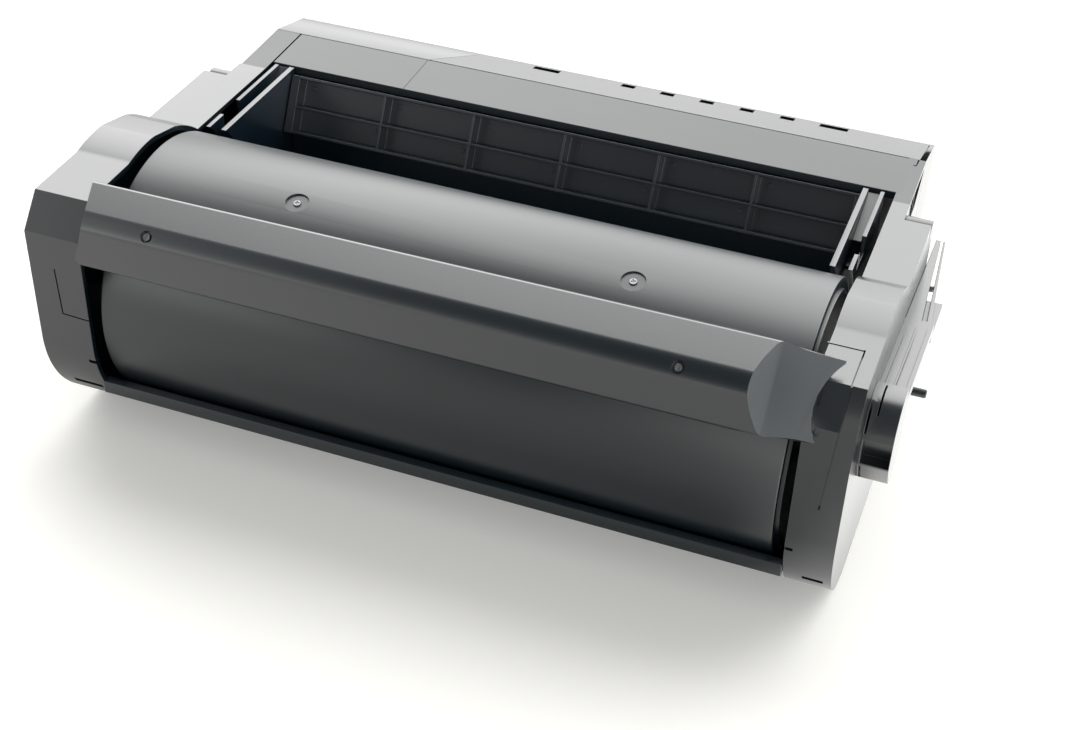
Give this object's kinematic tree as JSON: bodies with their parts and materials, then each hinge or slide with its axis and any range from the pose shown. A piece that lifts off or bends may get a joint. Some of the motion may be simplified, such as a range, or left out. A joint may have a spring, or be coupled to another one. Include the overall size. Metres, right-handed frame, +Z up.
{
  "type": "toner cartridge",
  "caption": "Wide all-in-one toner cartridge: cylindrical hopper with a front handle bar, deep end covers, and a rear drum unit with a ribbed exposure opening.",
  "frame": {"origin": "middle of the footprint, on the surface that the cartridge rests on", "axes": "+X along the rollers to the drive side, +Y to the back, +Z up"},
  "size_m": [0.352, 0.2322, 0.1225],
  "materials": {
    "grey_shell": "satin moulded",
    "dark_frame": "fine moulded",
    "gear_plastic": "natural",
    "steel": "ground",
    "drum_coating": "coated",
    "sleeve_aluminium": "blasted",
    "roller_rubber": "ground",
    "blade_rubber": "cast"
  },
  "bodies": {
    "housing": {"toner_hopper": "grey_shell", "front_handle": "grey_shell", "left_end_cover": "grey_shell", "right_end_cover": "grey_shell", "rear_top_cover": "grey_shell", "rear_cover": "grey_shell", "lower_tray": "grey_shell", "guide_rail": "grey_shell", "left_side_frame": "dark_frame", "right_side_frame": "dark_frame", "ribbed_wall": "dark_frame", "developer_housing": "dark_frame", "developer_cover": "dark_frame", "waste_bin": "dark_frame", "hopper_left_plug": "dark_frame", "hopper_right_plug": "dark_frame", "fill_cap": "dark_frame", "drive_plate": "dark_frame", "feet": "dark_frame", "drum_bushes": "gear_plastic", "charge_bearings": "gear_plastic", "developer_bearings": "gear_plastic", "train_idler_post": "steel", "waste_idler_post": "steel", "hopper_screws": "steel", "handle_screws": "steel", "doctor_blade": "steel", "blade_bracket": "steel", "cleaning_blade": "blade_rubber"},
    "drum": {"drum_tube": "drum_coating", "drum_drive_gear": "gear_plastic", "drum_waste_gear": "gear_plastic", "drum_shaft": "steel"},
    "charge": {"charge_roller": "roller_rubber", "charge_shaft": "steel"},
    "developer": {"developer_sleeve": "sleeve_aluminium", "developer_shaft": "steel", "developer_gear": "gear_plastic"},
    "stirrer": {"agitator_shaft": "steel", "agitator_paddle": "gear_plastic", "agitator_gear": "gear_plastic"},
    "train_idler": {"train_idler_gear": "gear_plastic"},
    "waste_idler": {"waste_idler_gear": "gear_plastic"},
    "auger": {"waste_auger": "gear_plastic", "waste_auger_gear": "gear_plastic"}
  },
  "joints": [
    {"name": "drum_spin", "type": "hinge", "parent": "housing", "child": "drum", "pos_m": [0, 0.036, 0.02], "axis": [1, 0, 0], "continuous": true},
    {"name": "charge_spin", "type": "hinge", "parent": "housing", "child": "charge", "pos_m": [0, 0.04665, 0.03845], "axis": [1, 0, 0], "continuous": true},
    {"name": "developer_spin", "type": "hinge", "parent": "housing", "child": "developer", "pos_m": [0, 0.01253, 0.02629], "axis": [1, 0, 0], "continuous": true},
    {"name": "stirrer_spin", "type": "hinge", "parent": "housing", "child": "stirrer", "pos_m": [0, -0.053, 0.061], "axis": [1, 0, 0], "continuous": true},
    {"name": "train_idler_spin", "type": "hinge", "parent": "housing", "child": "train_idler", "pos_m": [0, -0.0196, 0.03504], "axis": [1, 0, 0], "continuous": true},
    {"name": "waste_idler_spin", "type": "hinge", "parent": "housing", "child": "waste_idler", "pos_m": [0, 0.05977, 0.03372], "axis": [1, 0, 0], "continuous": true},
    {"name": "auger_spin", "type": "hinge", "parent": "housing", "child": "auger", "pos_m": [0, 0.07282, 0.02068], "axis": [1, 0, 0], "continuous": true}
  ],
  "couplings": [
    {"joint": "charge_spin", "follows": "drum_spin", "ratio": -2.5},
    {"joint": "developer_spin", "follows": "drum_spin", "ratio": -1.7},
    {"joint": "train_idler_spin", "follows": "drum_spin", "ratio": 0.62963},
    {"joint": "stirrer_spin", "follows": "drum_spin", "ratio": -0.85},
    {"joint": "waste_idler_spin", "follows": "drum_spin", "ratio": -1.2593},
    {"joint": "auger_spin", "follows": "drum_spin", "ratio": 2.4286}
  ]
}
